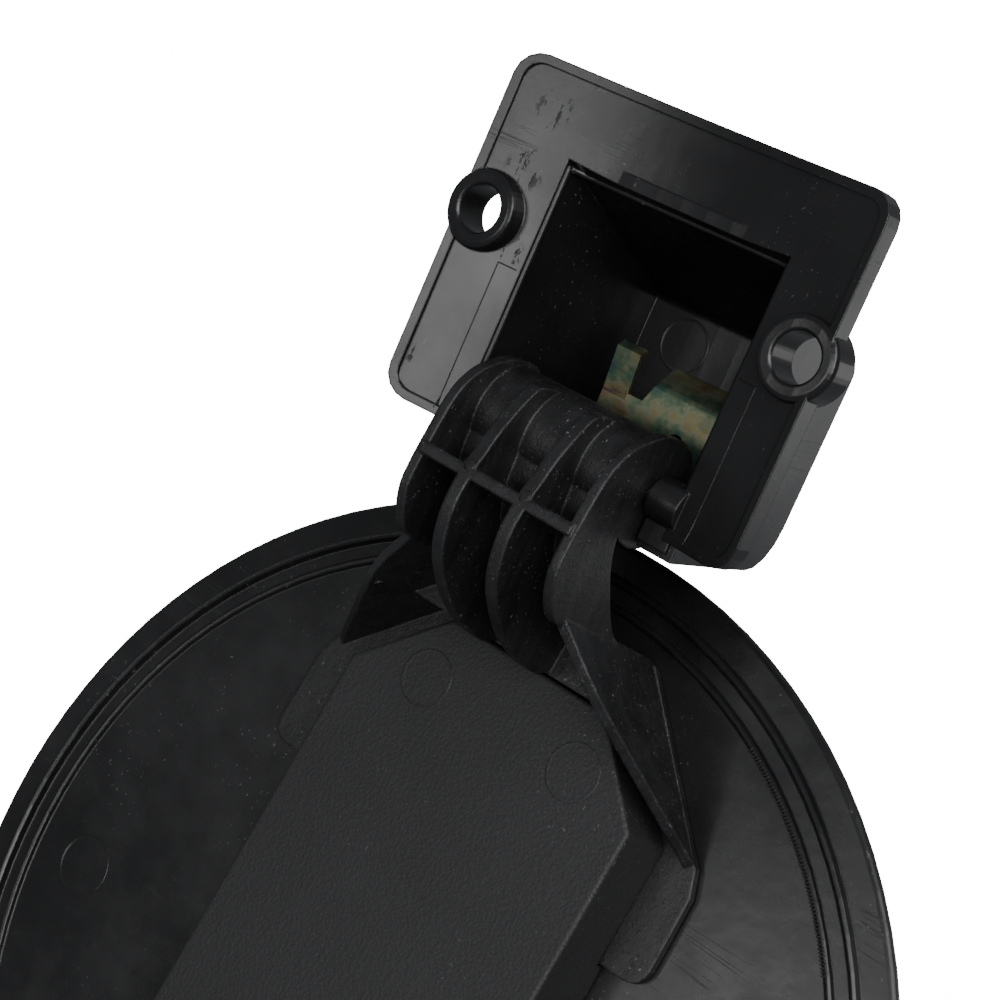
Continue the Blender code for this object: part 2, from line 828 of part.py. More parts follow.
def add_foot(add, root_x, wall_foot):
    """The flared walls, the raised floor between them and the thin base that lies on the disc."""
    root = Vector((root_x, ARM_HALF - FLARE_WALL / 2))
    tip = Vector((-FLARE_TIP_BACK, FLARE_TIP_HALF_WIDTH))
    run = tip - root
    length = run.length
    ridge = smooth_through(
        [
            (-0.5, FLARE_TOP),
            (length * 0.1, FLARE_TOP - 2.2),
            (length * 0.34, FLARE_TOP - 6.9),
            (length * 0.66, BASE_TOP + 11.6),
            (length, BASE_TOP),
        ],
        steps=3,
    )
    wing = [*ridge, (length, wall_foot), (-0.5, wall_foot)]
    for sign in (-1, 1):
        along = Vector((run.x, 0.0, sign * run.y)).normalized()
        upright = Vector((0.0, 1.0, 0.0))
        outward = along.cross(upright)
        frame = Matrix.Identity(4)
        for i, axis in enumerate((along, upright, outward)):
            frame[0][i], frame[1][i], frame[2][i] = axis
        start = Vector((root.x, 0.0, sign * root.y)) * MM
        frame.translation = start
        label = "left" if sign < 0 else "right"
        add(f"arm_flare_{label}", curve_mesh(f"arm_flare_{label}", [wing], FLARE_WALL), frame)

    slope = (FLARE_TIP_HALF_WIDTH - root.y) / (root.x + FLARE_TIP_BACK)
    front_x = PAD_FRONT + TOUCH_GAP
    front_half = root.y + slope * (root.x - front_x)
    shelf = [
        (root.x - 0.5, -root.y),
        (front_x, -front_half),
        (front_x, front_half),
        (root.x - 0.5, root.y),
    ]
    add(
        "foot_floor",
        curve_mesh("foot_floor", [shelf], FOOT_FLOOR_THICKNESS),
        flat_lying(FOOT_FLOOR_TOP - FOOT_FLOOR_THICKNESS / 2),
    )
    corner_back = -FLARE_TIP_BACK - 3.6
    half_outline = [
        (root.x + 0.4, ARM_HALF + 0.3, 0.0),
        (-FLARE_TIP_BACK + 0.2, FLARE_TIP_HALF_WIDTH + 0.9, 0.0),
        (corner_back, BASE_HALF_WIDTH - 0.3, 0.0),
        (-BASE_BACK, BASE_HALF_WIDTH, BASE_CORNER),
    ]
    other_half = [(x, -z, radius) for x, z, radius in half_outline[::-1]]
    add(
        "foot_base",
        curve_mesh("foot_base", [fillet([*half_outline, *other_half])], BASE_THICKNESS),
        flat_lying(BASE_TOP - BASE_THICKNESS / 2),
    )


def disc_profile():
    """Half the disc's section, from the middle of its inner face round the rim to its outer face."""
    radius = DISC_DIAMETER / 2
    outline = [(0.0, 0.0)]
    for centre, width, height in (
        (INNER_BEAD_RADIUS, INNER_BEAD_WIDTH, INNER_BEAD_HEIGHT),
        (BEAD_RADIUS, BEAD_WIDTH, BEAD_HEIGHT),
    ):
        half = width / 2
        outline += [
            (centre - half, 0.0),
            (centre - half * 0.55, height * 0.8),
            (centre, height),
            (centre + half * 0.55, height * 0.8),
            (centre + half, 0.0),
        ]
    outline.append((radius - EDGE_ROUND, 0.0))
    for k in range(1, 4):
        angle = math.radians(90 - 30 * k)
        outline.append(
            (
                radius - EDGE_ROUND + EDGE_ROUND * math.cos(angle),
                -EDGE_ROUND + EDGE_ROUND * math.sin(angle),
            )
        )
    outline.append((radius, -DISC_THICKNESS + EDGE_ROUND))
    crown_radius = (radius**2 + DISC_CROWN**2) / (2 * DISC_CROWN)
    for share in (0.985, 0.8, 0.6, 0.4, 0.2, 0.0):
        reach = radius * share
        drop = crown_radius - math.sqrt(crown_radius**2 - reach**2)
        outline.append((reach, -DISC_THICKNESS - DISC_CROWN + drop))
    return outline


def turned(name, profile, facets, collection, material, parent, matrix):
    """A closed body turned about its own z from a half section."""
    mesh = bpy.data.meshes.new(name)
    bm = bmesh.new()
    verts = [bm.verts.new((x * MM, 0.0, z * MM)) for x, z in profile]
    for a, b in zip(verts, verts[1:]):
        bm.edges.new((a, b))
    bm.to_mesh(mesh)
    bm.free()
    item = place(name, mesh, collection, material, parent=parent, matrix=matrix)
    screw = item.modifiers.new("turn", "SCREW")
    screw.axis = "Z"
    screw.steps = facets
    screw.render_steps = facets
    screw.use_merge_vertices = True
    screw.merge_threshold = 0.00001
    screw.use_smooth_shade = True
    return item


def make_disc(parts, material, pivot):
    centre = Matrix.Translation((-DISC_REACH * MM, -DISC_DROP * MM, DISC_OFFSET * MM))
    lay = Matrix.Rotation(math.radians(-90), 4, "X")
    return turned(
        "flap_disc", disc_profile(), DISC_FACETS, parts, material, pivot, centre @ lay
    )


def pad_ring(inset, height):
    """The pad's eight-sided outline at a height over the disc, drawn in by an inset."""
    draft = PAD_DRAFT * (1 - height / PAD_HEIGHT)
    corner_share = math.tan(math.radians(22.5))
    cut = PAD_HALF_WIDTH - PAD_END_HALF_WIDTH
    half_width = PAD_HALF_WIDTH + draft - inset
    half_length = PAD_HALF_LENGTH - inset
    end_half = PAD_END_HALF_WIDTH + draft - inset * corner_share
    shoulder = PAD_HALF_LENGTH - cut - inset * corner_share
    points = [
        (half_length, end_half),
        (shoulder, half_width),
        (-shoulder, half_width),
        (-half_length, end_half),
        (-half_length, -end_half),
        (-shoulder, -half_width),
        (shoulder, -half_width),
        (half_length, -end_half),
    ]
    return [
        (-DISC_REACH + along, -DISC_DROP + height, DISC_OFFSET + across)
        for along, across in points
    ]


def make_pad(parts, cutters, material, pivot):
    """The matt cover over the arm's base, a shell that is open towards the disc."""
    mesh = loft_mesh("cover_pad", pad_ring(0.0, PAD_HEIGHT), pad_ring(0.0, TOUCH_GAP))
    pad = place("cover_pad", mesh, parts, material, parent=pivot)
    edge = pad.modifiers.new("top_edge", "BEVEL")
    edge.width = PAD_EDGE_ROUND * MM
    edge.segments = 2
    edge.limit_method = "ANGLE"
    edge.angle_limit = math.radians(30)
    hollow = place(
        "pad_hollow",
        loft_mesh(
            "pad_hollow",
            pad_ring(PAD_WALL, PAD_HEIGHT - PAD_WALL),
            pad_ring(PAD_WALL, -2.0),
        ),
        cutters,
        parent=pivot,
    )
    boolean(pad, hollow, "DIFFERENCE")
    reach = BASE_BACK + TOUCH_GAP
    half = BASE_HALF_WIDTH + 6.0
    room = [(-reach, -half), (-reach, half), (0.0, half), (0.0, -half)]
    top = BASE_TOP + TOUCH_GAP
    depth = top + DISC_DROP + 3.0
    relief = place(
        "pad_relief",
        curve_mesh("pad_relief", [room], depth),
        cutters,
        parent=pivot,
        matrix=flat_lying(top - depth / 2),
    )
    boolean(pad, relief, "DIFFERENCE")
    smooth_shade(pad)
    return pad


def main():
    clear_scene()
    parts = new_collection("fuel_filler_flap")
    cutters = new_collection("cutters")
    cutters.hide_render = True

    black = new_material("moulded_black", (0.018, 0.018, 0.019), 0.32)
    arm_black = new_material("arm_black", (0.016, 0.016, 0.017), 0.38)
    disc_black = new_material("disc_black", (0.012, 0.012, 0.013), 0.2)
    pad_black = new_material("pad_black", (0.03, 0.03, 0.032), 0.6)
    steel = new_material("pin_steel", (0.55, 0.55, 0.55), 0.35, 1.0)
    zinc = new_material("spring_zinc", (0.55, 0.55, 0.36), 0.35, 1.0)

    make_housing(parts, cutters, black)
    make_pin(parts, steel)
    make_spring(parts, cutters, zinc)

    pivot = bpy.data.objects.new("flap_pivot", None)
    parts.objects.link(pivot)
    pivot.location = (PIN_X * MM, PIN_Y * MM, 0.0)
    pivot.rotation_euler.z = math.radians(90.0 + OPEN_ANGLE)
    make_arm(parts, cutters, arm_black, pivot)
    make_disc(parts, disc_black, pivot)
    make_pad(parts, cutters, pad_black, pivot)
    bpy.context.view_layer.update()


if __name__ == "__main__":
    main()
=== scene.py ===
import json
import math

import bmesh
import bpy
from bpy.props import FloatProperty, FloatVectorProperty, IntProperty, PointerProperty
from mathutils import Matrix, Vector


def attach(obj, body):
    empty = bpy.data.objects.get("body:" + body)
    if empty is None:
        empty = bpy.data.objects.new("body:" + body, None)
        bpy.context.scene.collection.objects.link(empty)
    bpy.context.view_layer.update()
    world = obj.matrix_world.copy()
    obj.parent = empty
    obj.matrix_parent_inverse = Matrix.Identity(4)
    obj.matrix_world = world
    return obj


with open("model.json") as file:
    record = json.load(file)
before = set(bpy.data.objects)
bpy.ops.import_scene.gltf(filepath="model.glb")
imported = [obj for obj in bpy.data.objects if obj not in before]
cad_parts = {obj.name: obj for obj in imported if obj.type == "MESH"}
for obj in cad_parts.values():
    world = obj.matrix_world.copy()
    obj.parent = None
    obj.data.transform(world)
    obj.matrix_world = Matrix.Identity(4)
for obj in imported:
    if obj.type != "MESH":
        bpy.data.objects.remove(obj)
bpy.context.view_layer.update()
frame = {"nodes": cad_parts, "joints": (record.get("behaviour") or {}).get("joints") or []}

bl_info = {
    "name": "Fuel Filler Flap Finishes",
    "version": (1, 0, 0),
    "blender": (4, 5, 0),
    "location": "View3D > Sidebar > Filler Flap",
    "description": "Moulded plastic and zinc finishes, mould marks and a studio for the flap",
    "category": "Object",
}

NODES = frame["nodes"]
HINGE = frame["joints"][0]
PIVOT = Vector(HINGE["pos_m"])
MM = 0.001

# The open flap's own directions: up towards the hinge, out of the disc's inner face, and along the pin
OPEN_TURN = math.radians(90 - HINGE["range_deg"][0])
FLAP_UP = Vector((math.cos(OPEN_TURN), math.sin(OPEN_TURN), 0))
FLAP_OUT = Vector((-math.sin(OPEN_TURN), math.cos(OPEN_TURN), 0))
PIN_WAY = Vector((0, 0, 1))
INTO_PLATE = Vector((0, 1, 0))

# Places in the solids, and how far off a look at a face starts, in millimetres
DISC_BELOW_PIN = 86.7
DISC_ASIDE = 2.3
SCREWS_ABOVE_EDGE = 29.1
LOOK_FROM = 20.0
DISC_CENTRE = PIVOT + (FLAP_UP * -DISC_BELOW_PIN + PIN_WAY * DISC_ASIDE) * MM

# The plate's bow as its solid has it, in metres: flat facets on an arc a little wider than the plate
BOW_RADIUS = 110.0 * MM
BOW_HALF_WIDTH = 33.3 * MM
BOW_FACETS = 16

# Rubbed spots on the plate in millimetres: across, up, and how far the rubbing reaches
RUBBED_SPOTS = ((-24.0, 45.5, 3.2), (-24.5, 36.5, 3.6), (-29.0, 6.6, 1.6), (-21.5, 25.5, 2.4))

# The zinc's films: a stop along the ramp, and shares of the main colour's red, green and blue
ZINC_FILMS = (
    (0.30, (0.25, 0.5, 0.7)),
    (0.42, (0.6, 0.75, 0.7)),
    (0.50, (1.0, 1.0, 1.0)),
    (0.60, (1.1, 0.9, 0.7)),
    (0.68, (1.0, 0.62, 0.8)),
    (0.76, (0.35, 0.7, 0.6)),
)

# Places of the mould marks, in millimetres and degrees
PAD_MARKS_UP = -38.1
PAD_MARKS_ALONG = (("pad_mark_left", -11.2), ("pad_mark_right", 17.1))
DISC_MARKS_FROM_MIDDLE = 59.9
DISC_MARKS_TURN = (("disc_mark_left", 187.3), ("disc_mark_right", -7.3))
POCKET_MARK = (-8.5, 21.9)
RIB_MARKS_UP = -8.9
FLARE_NUB = (-29.7, -7.0, -21.9)
FLARE_INWARD = Vector((0.69, -0.14, 0.71)).normalized()
NUB_CLEAR = 3.0

# The insert seams beside the mouth, and the beads round it, in millimetres on the plate
SEAM_ASIDE = 22.7
SEAM_FOOT = 0.9
SEAM_TOP = 23.3
SEAM_TURN_IN = 3.0
MOUTH_HALF_WIDTH = 19.05
MOUTH_TOP = 39.15
MOUTH_FOOT = 7.5
BEAD_SUNK_SHARE = 0.3

# The cutter ticks on the disc's ridge, in millimetres and degrees
RIDGE_RADIUS = 70.7
FIRST_TICK = 64.0
TICK_STEP = 0.42
TICK_RADIUS = 0.14
TICK_LENGTH = 0.9

# Soft panels in metres: name, place, size, and power as a share of the main panel's
PANELS = (
    ("front_panel", (0.15, -2.0, -0.37), (0.5, 0.84), 1.0),
    ("top_panel", (-0.9, -0.5, 1.0), (0.9, 0.7), 1.4),
    ("fill_panel", (-0.35, -1.15, 0.8), (0.9, 0.8), 2.6),
    ("back_panel", (-0.1, 1.5, 0.75), (0.6, 0.7), 0.2),
)
PANELS_AIM = (0.03, 0.0, 0.0)

# The photograph's viewpoint in metres, and the camera's own directions
CAMERA_PLACE = (-0.011984, -0.248922, 0.156094)
CAMERA_RIGHT = Vector((-0.3970216, 0.55819869, 0.72855204))
CAMERA_UP = Vector((-0.90411485, -0.10124696, -0.41512093))
CAMERA_BACK = Vector((-0.15795627, -0.8235067, 0.54487295))


def flap_point(up, out, along):
    """A point in millimetres from the hinge pin, along the flap's own directions."""
    return PIVOT + (FLAP_UP * up + FLAP_OUT * out + PIN_WAY * along) * MM


def disc_point(radius, degrees):
    """A point over the disc's inner face, by its distance and angle from the disc's middle."""
    turn = math.radians(degrees)
    reach = FLAP_UP * math.sin(turn) + PIN_WAY * math.cos(turn)
    return DISC_CENTRE + reach * radius * MM


def plate_point(across, up, out=LOOK_FROM):
    """A point in front of the hinge plate, across from its middle and up from its lower edge."""
    return Vector((SCREWS_ABOVE_EDGE * MM - up * MM, -out * MM, across * MM))


def evenly(start, end, steps):
    """Evenly spaced values from a start to an end."""
    return [start + (end - start) * k / steps for k in range(steps + 1)]


def surface(node, start, way):
    """Where a straight look from a point first meets a CAD node, and which way it faces."""
    hit, spot, normal, _ = NODES[node].ray_cast(start, way)
    if not hit:
        raise RuntimeError(f"nothing of {node} lies that way")
    return spot, normal


def start_fresh():
    """Leaves edit mode and drops the selection."""
    if bpy.context.mode != "OBJECT":
        bpy.ops.object.mode_set(mode="OBJECT")
    bpy.ops.object.select_all(action="DESELECT")


def pick_faces(test):
    """In edit mode, selects the faces that pass a test and nothing else."""
    bm = bmesh.from_edit_mesh(bpy.context.object.data)
    for part in (*bm.verts, *bm.edges, *bm.faces):
        part.select = False
    for face in bm.faces:
        face.select = test(face)
    bm.select_flush_mode()
    bmesh.update_edit_mesh(bpy.context.object.data)


def finish_piece(name, body, material, smooth=35.0):
    """Names the active piece, puts its place into its mesh and hangs it on its body."""
    piece = bpy.context.object
    piece.name = name
    piece.data.name = name
    bpy.ops.object.transform_apply(location=True, rotation=True, scale=True)
    bpy.ops.object.shade_smooth_by_angle(angle=math.radians(smooth))
    piece.data.materials.clear()
    piece.data.materials.append(material)
    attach(piece, body)
    return piece


# Finishes


def shade(colour, by):
    return tuple(min(1.0, part * by) for part in colour)


class Finish:
    """A material's node tree, with short words for the nodes that a moulded finish needs."""

    def __init__(self, name):
        self.material = bpy.data.materials.new(name)
        self.material.use_nodes = True
        self.tree = self.material.node_tree
        self.shader = self.tree.nodes["Principled BSDF"]
        self.place = self.tree.nodes.new("ShaderNodeTexCoord").outputs["Object"]

    def node(self, kind, inputs=(), **settings):
        made = self.tree.nodes.new(kind)
        for key, value in settings.items():
            setattr(made, key, value)
        for key, value in dict(inputs).items():
            if isinstance(value, bpy.types.NodeSocket):
                self.tree.links.new(value, made.inputs[key])
            else:
                made.inputs[key].default_value = value
        return made

    def noise(self, per_metre, detail=3.0, roughness=0.55, stretch=None):
        """Cloudy noise, stretched by a turn and a scale along each direction if asked."""
        where = self.place
        if stretch:
            where = self.node(
                "ShaderNodeMapping", {"Vector": where, "Rotation": stretch[0], "Scale": stretch[1]}
            ).outputs["Vector"]
        return self.node(
            "ShaderNodeTexNoise",
            {"Vector": where, "Scale": per_metre, "Detail": detail, "Roughness": roughness},
        ).outputs["Fac"]

    def spread(self, value, low, high, to_low=0.0, to_high=1.0):
        """A value stretched smoothly from one range over another."""
        return self.node(
            "ShaderNodeMapRange",
            {"Value": value, "From Min": low, "From Max": high, "To Min": to_low, "To Max": to_high},
            interpolation_type="SMOOTHSTEP",
        ).outputs["Result"]

    def maths(self, operation, first, second=0.0, clamp=False):
        return self.node(
            "ShaderNodeMath", {0: first, 1: second}, operation=operation, use_clamp=clamp
        ).outputs["Value"]

    def add(self, first, second, clamp=False):
        return self.maths("ADD", first, second, clamp)

    def times(self, first, second):
        return self.maths("MULTIPLY", first, second)

    def larger(self, first, second):
        return self.maths("MAXIMUM", first, second)

    def off(self, value, middle):
        """How far a value lies from a middle one, either way."""
        return self.maths("ABSOLUTE", self.maths("SUBTRACT", value, middle))

    def dust(self, per_metre):
        """Bright specks, thinly and unevenly strewn."""
        specks = self.spread(self.noise(per_metre, 1.0, 0.4), 0.715, 0.745)
        return self.times(specks, self.spread(self.noise(70.0, 2.0), 0.4, 0.6))

    def hairlines(self, per_metre, turn):
        """Fine straight hairlines, kept to a few broken lengths."""
        lines = self.noise(per_metre, 1.0, 0.3, stretch=((0, 0, turn), (1.0, 0.02, 0.02)))
        broken = self.spread(self.noise(55.0, 2.0), 0.58, 0.66)
        return self.times(self.spread(self.off(lines, 0.5), 0.0, 0.012, 1.0, 0.0), broken)

    def patch(self, spot, reach):
        """One at a spot, and fading to nothing at a reach from it."""
        distance = self.node(
            "ShaderNodeVectorMath", {0: self.place, 1: tuple(spot)}, operation="DISTANCE"
        ).outputs["Value"]
        return self.spread(distance, reach * 0.35, reach, 1.0, 0.0)

    def rounded(self, radius):
        """The way the surface faces, with its edges rounded off by a radius."""
        return self.node("ShaderNodeBevel", {"Radius": radius}, samples=6).outputs["Normal"]

    # An edge mask: the plate, pad and arm paint their edges lighter with it, partly as wear and partly
    # as a painted highlight; the disc's roughness uses it as wear.
    def edge_mask(self, radius):
        """One along a piece's edges, fading to nothing on its faces."""
        true_normal = self.node("ShaderNodeNewGeometry").outputs["True Normal"]
        same = self.node(
            "ShaderNodeVectorMath", {0: self.rounded(radius), 1: true_normal}, operation="DOT_PRODUCT"
        ).outputs["Value"]
        return self.spread(same, 0.86, 0.99, 1.0, 0.0)

    def bow(self, radius, half_width, facets):
        """A layer of relief that turns the flat facets of a plate bowed along Z into one curve."""
        reach = math.asin(half_width / radius)
        across = self.node("ShaderNodeSeparateXYZ", {"Vector": self.place}).outputs["Z"]
        turn = self.maths("ARCSINE", self.maths("DIVIDE", across, radius))
        share = self.maths("FRACT", self.times(self.add(turn, reach), facets / (2 * reach)))
        off_middle = self.maths("SUBTRACT", share, 0.5)
        height = self.times(self.times(off_middle, off_middle), 4.0)
        return height, 1.0, radius * (2 * reach / facets) ** 2 / 8

    def bumps(self, *layers, edge):
        """Stacked relief over rounded edges, each layer a height, a strength and a depth in metres."""
        normal = self.rounded(edge)
        for height, strength, depth in layers:
            normal = self.node(
                "ShaderNodeBump",
                {"Height": height, "Strength": strength, "Distance": depth, "Normal": normal},
            ).outputs["Normal"]
        self.tree.links.new(normal, self.shader.inputs["Normal"])

    def colour(self, share, *stops):
        ramp = self.node("ShaderNodeValToRGB", {"Fac": share})
        band = ramp.color_ramp
        while len(band.elements) < len(stops):
            band.elements.new(0.5)
        for element, (at, tone) in zip(band.elements, stops):
            element.position = at
            element.color = (*tone, 1.0)
        self.tree.links.new(ramp.outputs["Color"], self.shader.inputs["Base Color"])

    def tones(self, mottle, glints, colour, dark, middle, bright):
        """A colour that drifts from a dark to a middle tone, with far brighter glints: dust specks, and
        on some finishes edges painted lighter as a highlight.
        """
        share = self.add(mottle, glints, clamp=True)
        steps = (shade(colour, by) for by in (dark, middle, bright))
        self.colour(share, *zip((0.0, 0.5, 1.0), steps))

    def rough(self, value):
        self.tree.links.new(value, self.shader.inputs["Roughness"])

    def set(self, **values):
        for key, value in values.items():
            self.shader.inputs[key.replace("_", " ")].default_value = value
        return self.material


def disc_finish(colours):
    """Glossy black moulding with cloudy flow marks and fine hairlines."""
    f = Finish("disc_gloss_black")
    clouds = f.noise(38.0, 4.0, 0.6)
    smears = f.noise(110.0, 5.0, 0.65, stretch=((0, 0, 0.4), (1.0, 0.5, 0.7)))
    fine = f.noise(900.0, 2.0)
    hair = f.hairlines(700.0, 0.6)
    worn = f.edge_mask(0.0004)
    glints = f.times(f.dust(1700.0), 0.5)
    f.tones(f.spread(clouds, 0.3, 0.7, 0.0, 0.5), glints, colours.black, 0.8, 1.3, 12.0)
    sheen = f.spread(clouds, 0.3, 0.72, colours.disc_roughness, colours.disc_roughness + 0.1)
    wear = f.add(f.spread(smears, 0.35, 0.7, 0.0, 0.1), f.times(worn, 0.12))
    f.rough(f.add(sheen, f.add(f.times(hair, 0.2), wear), clamp=True))
    f.bumps(
        (clouds, 0.3, 0.0004), (smears, 0.12, 0.00012), (fine, 0.15, 0.00005), (hair, 0.25, 0.00003),
        edge=0.0003,
    )
    return f.set(Specular_IOR_Level=0.5)


def plate_finish(colours):
    """Semi-gloss black housing with rubbed spots round the left screw eyelet."""
    f = Finish("housing_gloss_black")
    clouds = f.noise(45.0, 4.0, 0.6)
    waves = f.noise(90.0, 3.0, 0.5, stretch=((0, 0, 0), (0.6, 1.0, 1.0)))
    fine = f.noise(1600.0, 2.0)
    hair = f.hairlines(900.0, 1.1)
    rubbed = f.spread(f.noise(900.0, 4.0, 0.7, stretch=((0, 0, 0.5), (0.4, 1.0, 1.0))), 0.56, 0.62)
    spots = 0.0
    for across, up, reach in RUBBED_SPOTS:
        spot, _ = surface("hinge_housing", plate_point(across, up), INTO_PLATE)
        spots = f.larger(spots, f.patch(spot, reach * MM))
    marks = f.times(rubbed, spots)
    # Dust specks, and edges painted lighter, partly as wear and partly as a painted highlight.
    glints = f.add(f.times(f.dust(1800.0), 0.5), f.times(f.edge_mask(0.0004), 0.12))
    f.tones(f.spread(clouds, 0.3, 0.7, 0.0, 0.5), glints, colours.black, 0.85, 1.3, 12.0)
    sheen = f.spread(clouds, 0.3, 0.7, colours.housing_roughness, colours.housing_roughness + 0.08)
    f.rough(f.add(sheen, f.add(f.times(hair, 0.15), f.times(marks, 0.35)), clamp=True))
    f.bumps(
        f.bow(BOW_RADIUS, BOW_HALF_WIDTH, BOW_FACETS), (waves, 0.35, 0.0003), (fine, 0.15, 0.00005),
        (hair, 0.25, 0.00003), (marks, 0.6, 0.00006), edge=0.00035,
    )
    return f.set(Specular_IOR_Level=0.5)


def arm_finish(colours):
    """Satin black arm with a dry, grainy skin along its ribs, and rib crests painted lighter, partly as
    rubbed wear and partly as a painted highlight.
    """
    f = Finish("arm_satin_black")
    clouds = f.noise(80.0, 4.0, 0.6)
    grain = f.noise(1500.0, 4.0, 0.75)
    streaks = f.noise(420.0, 3.0, 0.6, stretch=((0, 0, OPEN_TURN), (0.18, 1.0, 1.0)))
    dry = f.spread(f.noise(1200.0, 4.0, 0.75), 0.58, 0.7)
    # Rib crests and edges painted lighter in grainy patches, partly rubbed wear and partly a painted
    # highlight.
    rubbed_crests_and_painted_highlight = f.times(f.edge_mask(0.0006), f.spread(f.noise(1500.0, 4.0, 0.85), 0.45, 0.6))
    glints = f.larger(f.times(rubbed_crests_and_painted_highlight, 0.4), f.dust(1900.0))
    f.tones(f.spread(streaks, 0.3, 0.75, 0.0, 0.5), glints, colours.black, 0.9, 2.0, 14.0)
    sheen = f.spread(clouds, 0.3, 0.7, colours.arm_roughness, colours.arm_roughness + 0.14)
    f.rough(f.add(sheen, f.times(f.larger(dry, rubbed_crests_and_painted_highlight), 0.22), clamp=True))
    f.bumps(
        (clouds, 0.25, 0.0004), (streaks, 0.3, 0.0001), (grain, 0.8, 0.0001), (dry, 0.7, 0.00008),
        edge=0.0006,
    )
    return f.set(Specular_IOR_Level=0.5)


def pad_finish(colours):
    """Matt, spark-eroded skin of the cover pad, a little polished along its edges, which are also
    painted lighter as a highlight.
    """
    f = Finish("pad_matt_black")
    clouds = f.noise(30.0, 4.0, 0.6)
    grain = f.noise(3200.0, 2.0, 0.6)
    pits = f.node("ShaderNodeTexVoronoi", {"Vector": f.place, "Scale": 1800.0}).outputs["Distance"]
    # Edges polished, and also painted lighter in colour as a painted highlight.
    polish_and_painted_highlight = f.times(f.edge_mask(0.0005), 0.12)
    glints = f.add(f.times(f.dust(1900.0), 0.5), polish_and_painted_highlight)
    f.tones(f.spread(clouds, 0.3, 0.7, 0.0, 0.5), glints, colours.pad, 0.85, 1.15, 5.0)
    sheen = f.spread(grain, 0.3, 0.7, colours.pad_roughness - 0.05, colours.pad_roughness + 0.1)
    f.rough(f.maths("SUBTRACT", sheen, polish_and_painted_highlight, clamp=True))
    f.bumps((clouds, 0.12, 0.0003), (pits, 0.6, 0.00008), (grain, 0.5, 0.00005), edge=0.0005)
    return f.set(Specular_IOR_Level=0.45)


def clip_finish(colours):
    """Passivated zinc: yellow-green with pink and blue-green films that drift over the steel, the whole
    kept darker than bare zinc partly as painted shade of the pocket's shadow.
    """
    f = Finish("clip_yellow_zinc")
    film = f.noise(230.0, 3.0, 0.65)
    stain = f.spread(f.noise(520.0, 4.0, 0.7), 0.45, 0.7)
    grain = f.noise(1800.0, 2.0, stretch=((0, 0, 0), (1.0, 1.0, 0.15)))
    stops = [
        (at, tuple(part * share for part, share in zip(colours.zinc, shares)))
        for at, shares in ZINC_FILMS
    ]
    f.colour(f.maths("SUBTRACT", film, f.times(stain, 0.05)), *stops)
    f.rough(f.add(f.spread(grain, 0.3, 0.7, 0.32, 0.45), f.times(stain, 0.15)))
    f.bumps((grain, 0.2, 0.00003), (film, 0.1, 0.0001), (stain, 0.2, 0.00003), edge=0.00012)
    return f.set(Metallic=0.9)


def pin_finish():
    """Drawn steel wire with faint turning marks."""
    f = Finish("pin_drawn_steel")
    grain = f.noise(1400.0, 2.0, stretch=((0, 0, 0), (0.1, 0.1, 1.0)))
    f.colour(f.spread(grain, 0.3, 0.7), (0.0, (0.32, 0.31, 0.3)), (1.0, (0.5, 0.49, 0.47)))
    f.rough(f.spread(grain, 0.3, 0.7, 0.25, 0.4))
    f.bumps((grain, 0.2, 0.00002), edge=0.0002)
    return f.set(Metallic=1.0)


# Settings


class FlapColours(bpy.types.PropertyGroup):
    black: FloatVectorProperty(
        name="Black", description="Colour of the gloss and satin mouldings",
        subtype="COLOR", default=(0.0065, 0.0065, 0.007), min=0.0, max=1.0,
    )
    pad: FloatVectorProperty(
        name="Pad", description="Colour of the matt cover pad",
        subtype="COLOR", default=(0.011, 0.011, 0.0118), min=0.0, max=1.0,
    )
    # The zinc's main colour is kept dark partly as painted shade: it stands in for the pocket's shadow
    # over the clip.
    zinc: FloatVectorProperty(
        name="Zinc", description="Main colour of the clip's passivated zinc",
        subtype="COLOR", default=(0.165, 0.18, 0.12), min=0.0, max=1.0,
    )
    disc_roughness: FloatProperty(
        name="Disc roughness", description="Lowest roughness of the disc's gloss",
        subtype="FACTOR", default=0.2, min=0.0, max=1.0,
    )
    housing_roughness: FloatProperty(
        name="Housing roughness", description="Lowest roughness of the housing's gloss",
        subtype="FACTOR", default=0.22, min=0.0, max=1.0,
    )
    arm_roughness: FloatProperty(
        name="Arm roughness", description="Lowest roughness of the arm's satin skin",
        subtype="FACTOR", default=0.32, min=0.0, max=1.0,
    )
    pad_roughness: FloatProperty(
        name="Pad roughness", description="Middle roughness of the matt pad",
        subtype="FACTOR", default=0.55, min=0.0, max=1.0,
    )


